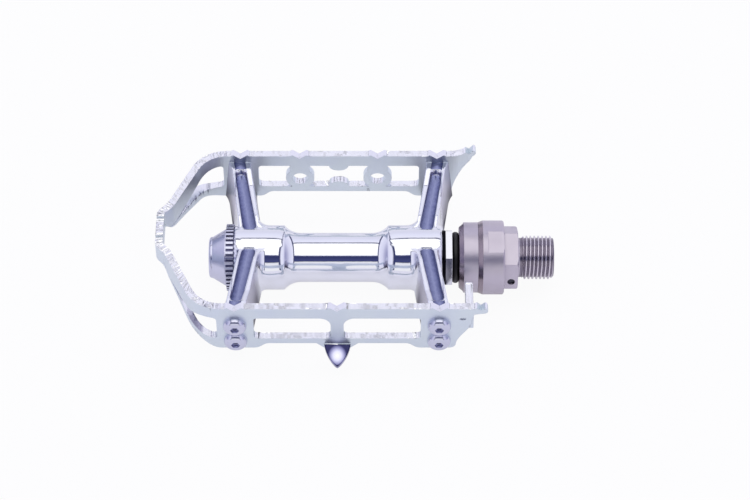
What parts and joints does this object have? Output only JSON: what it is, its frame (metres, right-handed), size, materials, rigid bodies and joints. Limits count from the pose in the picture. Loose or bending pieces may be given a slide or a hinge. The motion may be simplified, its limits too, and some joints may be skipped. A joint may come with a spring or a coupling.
{
  "type": "road bicycle pedal",
  "caption": "Left quill-type road bicycle pedal: polished hub with four channel arms, bent aluminium cage, sealed bearings and a quick-release adaptor on the crank side.",
  "frame": {"origin": "on the axle axis where the crank thread starts beside its relief groove", "axes": "+X along the axle to the crank, +Y to the front plate with the toe-clip holes, +Z out of the toothed side of the cage"},
  "size_m": [0.1285, 0.0759, 0.0275],
  "materials": {
    "polished_aluminium": "mirror polished",
    "satin_aluminium": "satin, tumbled and clear anodised",
    "cap_aluminium": "turned, knurled rim",
    "screw_steel": "polished domes",
    "axle_steel": "ground and chromed",
    "adaptor_steel": "brushed, nickel plated",
    "thread_steel": "cut thread, nickel plated",
    "bearing_steel": "ground",
    "spring_steel": "drawn wire",
    "pin_steel": "blackened",
    "black_rubber": "smooth"
  },
  "bodies": {
    "adaptor": {"adaptor_body": "adaptor_steel", "stop_pin": "pin_steel", "nose_ring": "adaptor_steel", "locking_balls": "bearing_steel", "axle": "axle_steel", "o_ring": "black_rubber", "inner_bearing_inner_race": "bearing_steel", "middle_bearing_inner_race": "bearing_steel", "outer_bearing_inner_race": "bearing_steel", "axle_spacer": "axle_steel", "lock_washer": "axle_steel", "lock_nut": "axle_steel"},
    "pedal": {"pedal_body": "polished_aluminium", "cage": "satin_aluminium", "cage_screws": "screw_steel", "dust_cap": "cap_aluminium", "inner_bearing_outer_race": "bearing_steel", "middle_bearing_outer_race": "bearing_steel", "outer_bearing_outer_race": "bearing_steel", "inner_bearing_seals": "black_rubber", "middle_bearing_seals": "black_rubber", "outer_bearing_seals": "black_rubber", "bearing_spacer": "cap_aluminium", "hub_seal": "black_rubber"},
    "inner_balls": {"inner_bearing_balls": "bearing_steel"},
    "outer_balls": {"middle_bearing_balls": "bearing_steel", "outer_bearing_balls": "bearing_steel"},
    "spring_seat": {"spring_washer": "spring_steel", "collar_spring": "spring_steel"},
    "collar": {"release_collar": "adaptor_steel"}
  },
  "joints": [
    {"name": "pedal_spin", "type": "hinge", "parent": "adaptor", "child": "pedal", "pos_m": [-0.0596, 0, 0], "axis": [1, 0, 0], "continuous": true},
    {"name": "inner_ball_orbit", "type": "hinge", "parent": "adaptor", "child": "inner_balls", "pos_m": [-0.0294, 0, 0], "axis": [1, 0, 0], "continuous": true},
    {"name": "outer_ball_orbit", "type": "hinge", "parent": "adaptor", "child": "outer_balls", "pos_m": [-0.0833, 0, 0], "axis": [1, 0, 0], "continuous": true},
    {"name": "collar_turn", "type": "hinge", "parent": "adaptor", "child": "spring_seat", "pos_m": [-0.01, 0, 0], "axis": [1, 0, 0], "range_deg": [0, 30]},
    {"name": "collar_push", "type": "slide", "parent": "spring_seat", "child": "collar", "axis": [1, 0, 0], "range_m": [0, 0.0028], "stiffness_N_per_m": 2500, "springref_m": -0.0012, "deforming": ["collar_spring"]}
  ],
  "couplings": [
    {"joint": "inner_ball_orbit", "follows": "pedal_spin", "ratio": 0.5633},
    {"joint": "outer_ball_orbit", "follows": "pedal_spin", "ratio": 0.5958}
  ]
}
